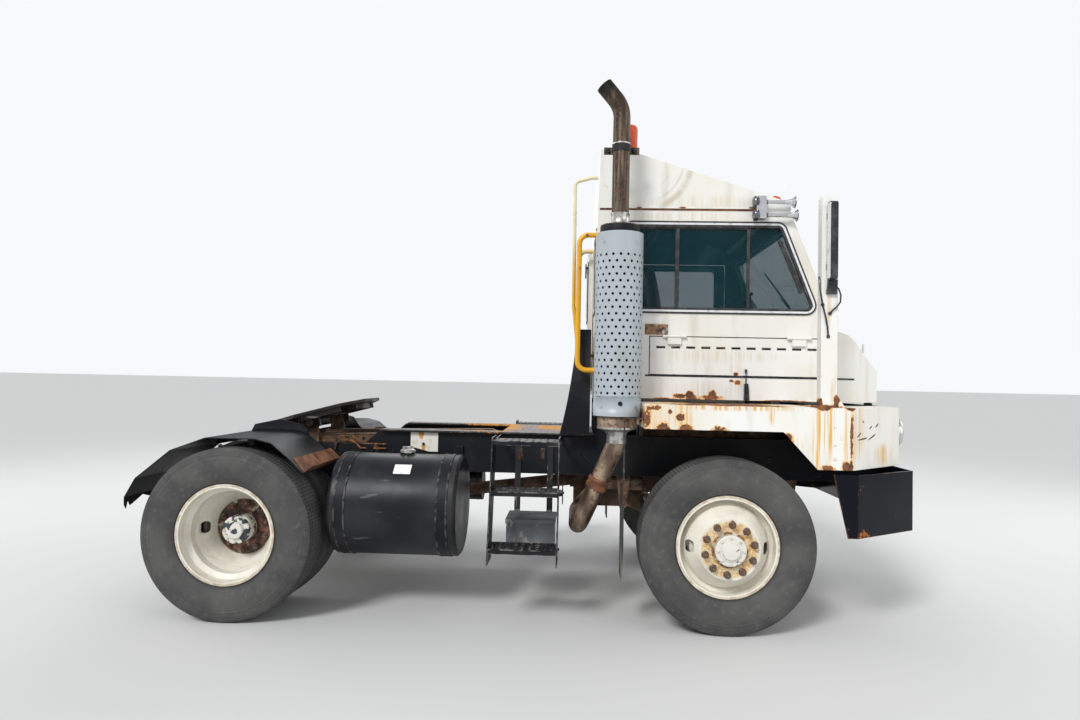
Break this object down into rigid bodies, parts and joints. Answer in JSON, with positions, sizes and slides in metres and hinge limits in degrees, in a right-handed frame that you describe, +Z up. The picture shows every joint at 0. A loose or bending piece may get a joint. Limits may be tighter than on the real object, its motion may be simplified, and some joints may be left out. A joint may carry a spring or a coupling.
{
  "type": "terminal tractor (yard spotter) with tilt cab and lifting fifth wheel",
  "caption": "Terminal tractor with an offset one-man tilt cab, a shielded vertical exhaust stack, disc wheels and a rear boom that lifts its fifth wheel.",
  "frame": {"origin": "on the ground under the middle of the truck's length and width", "axes": "+X forward, +Y to the truck's left, +Z up"},
  "size_m": [4.736, 2.51, 3.3296],
  "materials": {
    "white_paint": "satin",
    "black_paint": "satin",
    "shield_grey": "matt",
    "rusty_steel": "rough",
    "tread_plate": "rough",
    "tyre_rubber": "matt",
    "wheel_paint": "satin",
    "yellow_paint": "satin",
    "glass": "gloss",
    "lamp_glass": "gloss",
    "amber_lens": "gloss",
    "chrome": "polished",
    "black_plastic": "matt",
    "cab_trim": "matt",
    "rubber_flap": "matt"
  },
  "bodies": {
    "chassis": {"frame": "black_paint", "cab_mounts": "black_paint", "outriggers": "black_paint", "bumper": "black_paint", "grille": "black_paint", "headlamps": "lamp_glass", "front_fender_right": "white_paint", "front_fender_left": "white_paint", "mirror_posts": "white_paint", "mirror_heads": "black_plastic", "mudflaps": "rubber_flap", "front_axle": "rusty_steel", "front_springs": "rusty_steel", "rear_axle": "rusty_steel", "engine": "rusty_steel", "radiator": "black_paint", "driveshaft": "rusty_steel", "fuel_tank": "black_paint", "tank_straps": "black_paint", "air_tanks": "black_paint", "battery_box": "black_paint", "ladders": "black_paint", "deck": "tread_plate", "hose_tower": "black_paint", "rear_fenders": "black_paint", "exhaust_pipe": "rusty_steel", "heat_shield": "shield_grey"},
    "cab": {"cab_floor": "black_paint", "cab_right_wall": "white_paint", "cab_left_wall": "white_paint", "cab_rear_wall": "white_paint", "roof": "white_paint", "cab_front": "white_paint", "cab_glass": "glass", "horns": "chrome", "beacon": "amber_lens", "grab_rails": "yellow_paint", "seat": "cab_trim", "dashboard": "cab_trim", "steering_wheel": "black_plastic"},
    "driver_door": {"left_door": "white_paint", "left_door_glass": "glass"},
    "rear_door": {"rear_door": "white_paint", "rear_door_glass": "glass"},
    "side_panel": {"side_panel": "white_paint"},
    "boom": {"boom": "black_paint"},
    "fifth_wheel": {"fifth_wheel": "rusty_steel"},
    "lift_barrels": {"lift_barrels": "black_paint"},
    "lift_rods": {"lift_rods": "chrome"},
    "knuckle_right": {"knuckle_right": "rusty_steel"},
    "knuckle_left": {"knuckle_left": "rusty_steel"},
    "tie_rod": {"tie_rod": "rusty_steel"},
    "wheel_front_right": {"front_tyre_right": "tyre_rubber", "front_wheel_right": "wheel_paint"},
    "wheel_front_left": {"front_tyre_left": "tyre_rubber", "front_wheel_left": "wheel_paint"},
    "wheels_rear_right": {"rear_tyres_right": "tyre_rubber", "rear_wheels_right": "wheel_paint"},
    "wheels_rear_left": {"rear_tyres_left": "tyre_rubber", "rear_wheels_left": "wheel_paint"}
  },
  "joints": [
    {"name": "steer_right", "type": "hinge", "parent": "chassis", "child": "knuckle_right", "pos_m": [1.21, -0.85, 0.515], "axis": [0, 0, 1], "range_deg": [-40, 40]},
    {"name": "steer_left", "type": "hinge", "parent": "chassis", "child": "knuckle_left", "pos_m": [1.21, 0.85, 0.515], "axis": [0, 0, 1], "range_deg": [-40, 40]},
    {"name": "tie_rod_swing", "type": "hinge", "parent": "knuckle_right", "child": "tie_rod", "pos_m": [1.02, -0.85, 0.3817], "axis": [0, 0, 1], "range_deg": [-40, 40]},
    {"name": "front_wheel_spin_right", "type": "hinge", "parent": "knuckle_right", "child": "wheel_front_right", "pos_m": [1.21, -1.005, 0.515], "axis": [0, 1, 0], "continuous": true},
    {"name": "front_wheel_spin_left", "type": "hinge", "parent": "knuckle_left", "child": "wheel_front_left", "pos_m": [1.21, 1.005, 0.515], "axis": [0, 1, 0], "continuous": true},
    {"name": "rear_wheels_spin_right", "type": "hinge", "parent": "chassis", "child": "wheels_rear_right", "pos_m": [-1.736, -0.924, 0.515], "axis": [0, 1, 0], "continuous": true},
    {"name": "rear_wheels_spin_left", "type": "hinge", "parent": "chassis", "child": "wheels_rear_left", "pos_m": [-1.736, 0.924, 0.515], "axis": [0, 1, 0], "continuous": true},
    {"name": "cab_tilt", "type": "hinge", "parent": "chassis", "child": "cab", "pos_m": [2.29, 0.39, 1.345], "axis": [0, 1, 0], "range_deg": [0, 45]},
    {"name": "driver_door_swing", "type": "hinge", "parent": "cab", "child": "driver_door", "pos_m": [1.607, 1.072, 1.9], "axis": [0, 0, -1], "range_deg": [0, 90]},
    {"name": "rear_door_slide", "type": "slide", "parent": "cab", "child": "rear_door", "axis": [0, 1, 0], "range_m": [0, 0.47]},
    {"name": "side_panel_lift", "type": "hinge", "parent": "cab", "child": "side_panel", "pos_m": [1.335, -0.712, 1.763], "axis": [-1, 0, 0], "range_deg": [0, 80]},
    {"name": "boom_lift", "type": "hinge", "parent": "chassis", "child": "boom", "pos_m": [-0.27, 0, 0.97], "axis": [0, 1, 0], "range_deg": [0, 18]},
    {"name": "fifth_wheel_tilt", "type": "hinge", "parent": "boom", "child": "fifth_wheel", "pos_m": [-1.57, 0, 1.128], "axis": [0, 1, 0], "range_deg": [0, 20]},
    {"name": "lift_barrel_swing", "type": "hinge", "parent": "chassis", "child": "lift_barrels", "pos_m": [-1.005, 0, 0.462], "axis": [0, 1, 0], "range_deg": [0, 1.4]},
    {"name": "lift_rod_slide", "type": "slide", "parent": "lift_barrels", "child": "lift_rods", "axis": [0, 0, 1], "range_m": [0, 0.23059]}
  ],
  "couplings": [
    {"joint": "steer_left", "follows": "steer_right", "ratio": 1},
    {"joint": "tie_rod_swing", "follows": "steer_right", "ratio": -1},
    {"joint": "lift_barrel_swing", "follows": "boom_lift", "ratio": 0.078},
    {"joint": "lift_rod_slide", "follows": "boom_lift", "m_per_rad": 0.734}
  ]
}
